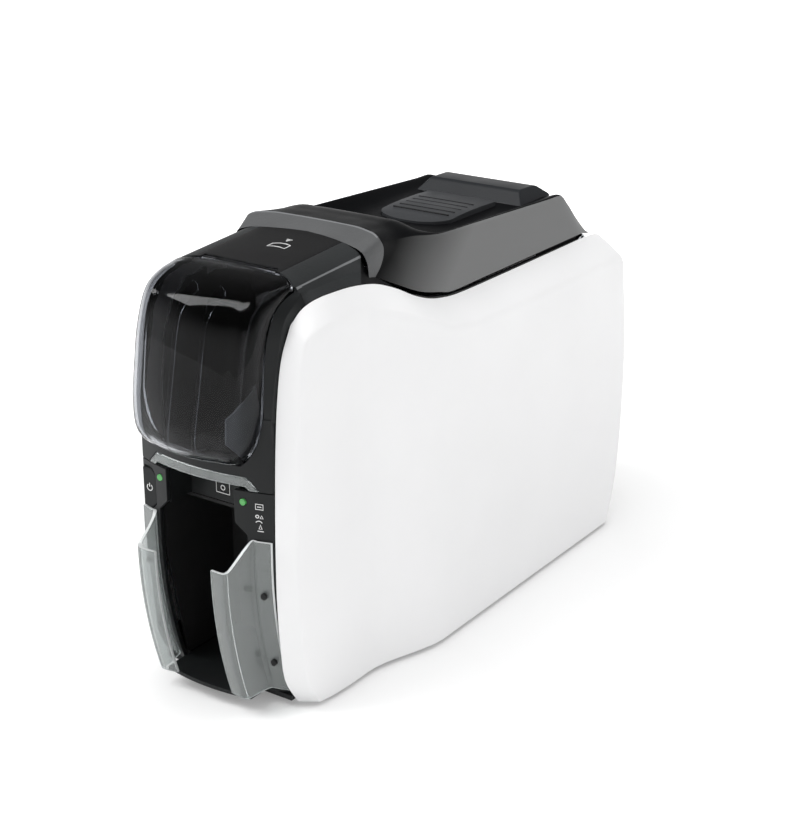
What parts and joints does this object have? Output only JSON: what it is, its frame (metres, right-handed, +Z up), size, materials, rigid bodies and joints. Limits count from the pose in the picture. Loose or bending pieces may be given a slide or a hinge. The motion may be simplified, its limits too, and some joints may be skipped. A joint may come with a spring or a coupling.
{
  "type": "id card printer",
  "caption": "Desktop card printer: white side panels, a hinged top lid over the print path, a hinged clear hopper cover at the front and an open output bay below it.",
  "frame": {"origin": "centre of the bounding box's bottom face, on the table under the rubber feet", "axes": "+X to the machine's right side seen from behind the front, +Y from the front towards the rear, +Z up"},
  "size_m": [0.1576, 0.3959, 0.2711],
  "materials": {
    "black_rubber": "black rubber",
    "blue_roller": "blue tacky cleaning sleeve on a steel shaft with an ivory gear",
    "brass": "machined brass",
    "bronze": "sintered bronze",
    "ceramic": "glazed ceramic print strip on its carrier",
    "circuit_board": "green solder mask",
    "clear_grey": "clear moulded plastic with a light grey tint",
    "dark_plastic": "black moulded plastic",
    "gloss_black": "black plastic, glossy on top and grained at the sides",
    "green_light": "green translucent light pipe",
    "grey_plastic": "fine-grained dark grey moulded plastic",
    "ivory_plastic": "ivory acetal plastic",
    "motor_can": "zinc-plated motor can",
    "roller": "black rubber sleeve on a steel shaft with an ivory gear",
    "smoked_clear": "clear smoke-tinted moulded plastic",
    "spring_steel": "bright spring steel",
    "steel": "plain zinc-plated steel",
    "white_plastic": "satin white moulded plastic",
    "white_spool": "white plastic core on a steel shaft"
  },
  "bodies": {
    "housing": {"base_chassis": "grey_plastic", "rubber_feet": "black_rubber", "left_frame_plate": "steel", "right_frame_plate": "steel", "frame_cross_bars": "steel", "left_side_panel": "white_plastic", "right_side_panel": "white_plastic", "upper_front_bezel": "grey_plastic", "lower_front_bezel": "grey_plastic", "front_top_housing": "gloss_black", "lid_rest_rails": "dark_plastic", "card_exit_plate": "grey_plastic", "exit_slot_visor": "clear_grey", "cover_hinge_rod": "steel", "input_hopper": "dark_plastic", "output_wing_left": "clear_grey", "output_wing_right": "clear_grey", "output_tray": "grey_plastic", "output_bay_liner": "dark_plastic", "wing_clips": "dark_plastic", "power_button_spring": "spring_steel", "light_pipes": "green_light", "status_light_board": "circuit_board", "lid_hinge_rod": "steel", "lid_hinge_brackets": "steel", "drive_motor": "motor_can", "ribbon_motor": "motor_can", "main_board": "circuit_board", "rear_ports": "dark_plastic", "rear_panel": "dark_plastic", "roller_bushes": "bronze", "card_path_guides": "grey_plastic", "chassis_screws": "steel", "lid_catch_pins": "steel"},
    "lid": {"top_lid": "grey_plastic", "lid_inner_frame": "grey_plastic", "latch_button_springs": "spring_steel", "printhead_bracket": "steel", "printhead": "ceramic", "printhead_springs": "spring_steel"},
    "hopper_cover": {"hopper_cover": "smoked_clear"},
    "latch_button": {"lid_latch_button": "dark_plastic"},
    "latch_hooks": {"latch_hooks": "steel"},
    "power_button": {"power_button": "grey_plastic"},
    "card_weight": {"card_weight_plate": "grey_plastic"},
    "pick_roller": {"pick_roller": "roller"},
    "feed_roller": {"feed_roller": "roller"},
    "cleaning_roller": {"cleaning_roller": "blue_roller"},
    "platen_roller": {"platen_roller": "roller"},
    "exit_roller": {"exit_roller": "roller"},
    "feed_pinch_roller": {"feed_pinch_roller": "roller"},
    "exit_pinch_roller": {"exit_pinch_roller": "roller"},
    "idler_gear_1": {"idler_gear_1": "ivory_plastic"},
    "idler_gear_2": {"idler_gear_2": "ivory_plastic"},
    "idler_gear_3": {"idler_gear_3": "ivory_plastic"},
    "idler_gear_4": {"idler_gear_4": "ivory_plastic"},
    "drive_pinion": {"drive_pinion": "brass"},
    "ribbon_pinion": {"ribbon_pinion": "brass"},
    "takeup_spindle": {"takeup_spindle": "white_spool"},
    "supply_spindle": {"supply_spindle": "white_spool"}
  },
  "joints": [
    {"name": "lid_hinge", "type": "hinge", "parent": "housing", "child": "lid", "pos_m": [0, 0.1825, 0.2106], "axis": [-1, 0, 0], "range_deg": [0, 70]},
    {"name": "hopper_cover_hinge", "type": "hinge", "parent": "housing", "child": "hopper_cover", "pos_m": [0, -0.1362, 0.2589], "axis": [-1, 0, 0], "range_deg": [0, 80]},
    {"name": "latch_button_press", "type": "slide", "parent": "lid", "child": "latch_button", "axis": [0, 0, -1], "range_m": [0, 0.0035], "stiffness_N_per_m": 800, "springref_m": -0.002, "deforming": ["latch_button_springs"]},
    {"name": "latch_hooks_turn", "type": "hinge", "parent": "lid", "child": "latch_hooks", "pos_m": [0, 0.06, 0.232], "axis": [1, 0, 0], "range_deg": [0, 13]},
    {"name": "power_button_press", "type": "slide", "parent": "housing", "child": "power_button", "axis": [0, 1, 0], "range_m": [0, 0.0012], "stiffness_N_per_m": 600, "springref_m": -0.001},
    {"name": "card_weight_lift", "type": "slide", "parent": "housing", "child": "card_weight", "axis": [0, 0, 1], "range_m": [0, 0.07]},
    {"name": "pick_roller_spin", "type": "hinge", "parent": "housing", "child": "pick_roller", "pos_m": [0, -0.105, 0.143], "axis": [1, 0, 0], "continuous": true},
    {"name": "feed_roller_spin", "type": "hinge", "parent": "housing", "child": "feed_roller", "pos_m": [0, -0.057, 0.143], "axis": [1, 0, 0], "continuous": true},
    {"name": "cleaning_roller_spin", "type": "hinge", "parent": "housing", "child": "cleaning_roller", "pos_m": [0, -0.009, 0.143], "axis": [1, 0, 0], "continuous": true},
    {"name": "platen_roller_spin", "type": "hinge", "parent": "housing", "child": "platen_roller", "pos_m": [0, 0.039, 0.143], "axis": [1, 0, 0], "continuous": true},
    {"name": "exit_roller_spin", "type": "hinge", "parent": "housing", "child": "exit_roller", "pos_m": [0, 0.087, 0.143], "axis": [1, 0, 0], "continuous": true},
    {"name": "feed_pinch_spin", "type": "hinge", "parent": "housing", "child": "feed_pinch_roller", "pos_m": [0, -0.057, 0.1558], "axis": [1, 0, 0], "continuous": true},
    {"name": "exit_pinch_spin", "type": "hinge", "parent": "housing", "child": "exit_pinch_roller", "pos_m": [0, 0.087, 0.1558], "axis": [1, 0, 0], "continuous": true},
    {"name": "idler_gear_1_spin", "type": "hinge", "parent": "housing", "child": "idler_gear_1", "pos_m": [0, -0.081, 0.143], "axis": [1, 0, 0], "continuous": true},
    {"name": "idler_gear_2_spin", "type": "hinge", "parent": "housing", "child": "idler_gear_2", "pos_m": [0, -0.033, 0.143], "axis": [1, 0, 0], "continuous": true},
    {"name": "idler_gear_3_spin", "type": "hinge", "parent": "housing", "child": "idler_gear_3", "pos_m": [0, 0.015, 0.143], "axis": [1, 0, 0], "continuous": true},
    {"name": "idler_gear_4_spin", "type": "hinge", "parent": "housing", "child": "idler_gear_4", "pos_m": [0, 0.063, 0.143], "axis": [1, 0, 0], "continuous": true},
    {"name": "drive_pinion_spin", "type": "hinge", "parent": "housing", "child": "drive_pinion", "pos_m": [0, 0.063, 0.127], "axis": [1, 0, 0], "continuous": true},
    {"name": "takeup_spindle_spin", "type": "hinge", "parent": "housing", "child": "takeup_spindle", "pos_m": [0, -0.012, 0.19], "axis": [1, 0, 0], "continuous": true},
    {"name": "ribbon_pinion_spin", "type": "hinge", "parent": "housing", "child": "ribbon_pinion", "pos_m": [0, -0.034, 0.19], "axis": [1, 0, 0], "continuous": true},
    {"name": "supply_spindle_spin", "type": "hinge", "parent": "housing", "child": "supply_spindle", "pos_m": [0, 0.1, 0.19], "axis": [1, 0, 0], "continuous": true}
  ],
  "couplings": [
    {"joint": "pick_roller_spin", "follows": "platen_roller_spin", "ratio": 1},
    {"joint": "feed_roller_spin", "follows": "platen_roller_spin", "ratio": 1},
    {"joint": "cleaning_roller_spin", "follows": "platen_roller_spin", "ratio": 1},
    {"joint": "exit_roller_spin", "follows": "platen_roller_spin", "ratio": 1},
    {"joint": "idler_gear_1_spin", "follows": "platen_roller_spin", "ratio": -1.4},
    {"joint": "idler_gear_2_spin", "follows": "platen_roller_spin", "ratio": -1.4},
    {"joint": "idler_gear_3_spin", "follows": "platen_roller_spin", "ratio": -1.4},
    {"joint": "idler_gear_4_spin", "follows": "platen_roller_spin", "ratio": -1.4},
    {"joint": "drive_pinion_spin", "follows": "platen_roller_spin", "ratio": 2.3333},
    {"joint": "feed_pinch_spin", "follows": "platen_roller_spin", "ratio": -1.4},
    {"joint": "exit_pinch_spin", "follows": "platen_roller_spin", "ratio": -1.4},
    {"joint": "ribbon_pinion_spin", "follows": "takeup_spindle_spin", "ratio": -2.6667},
    {"joint": "latch_hooks_turn", "follows": "latch_button_press", "rad_per_m": 64.762}
  ]
}
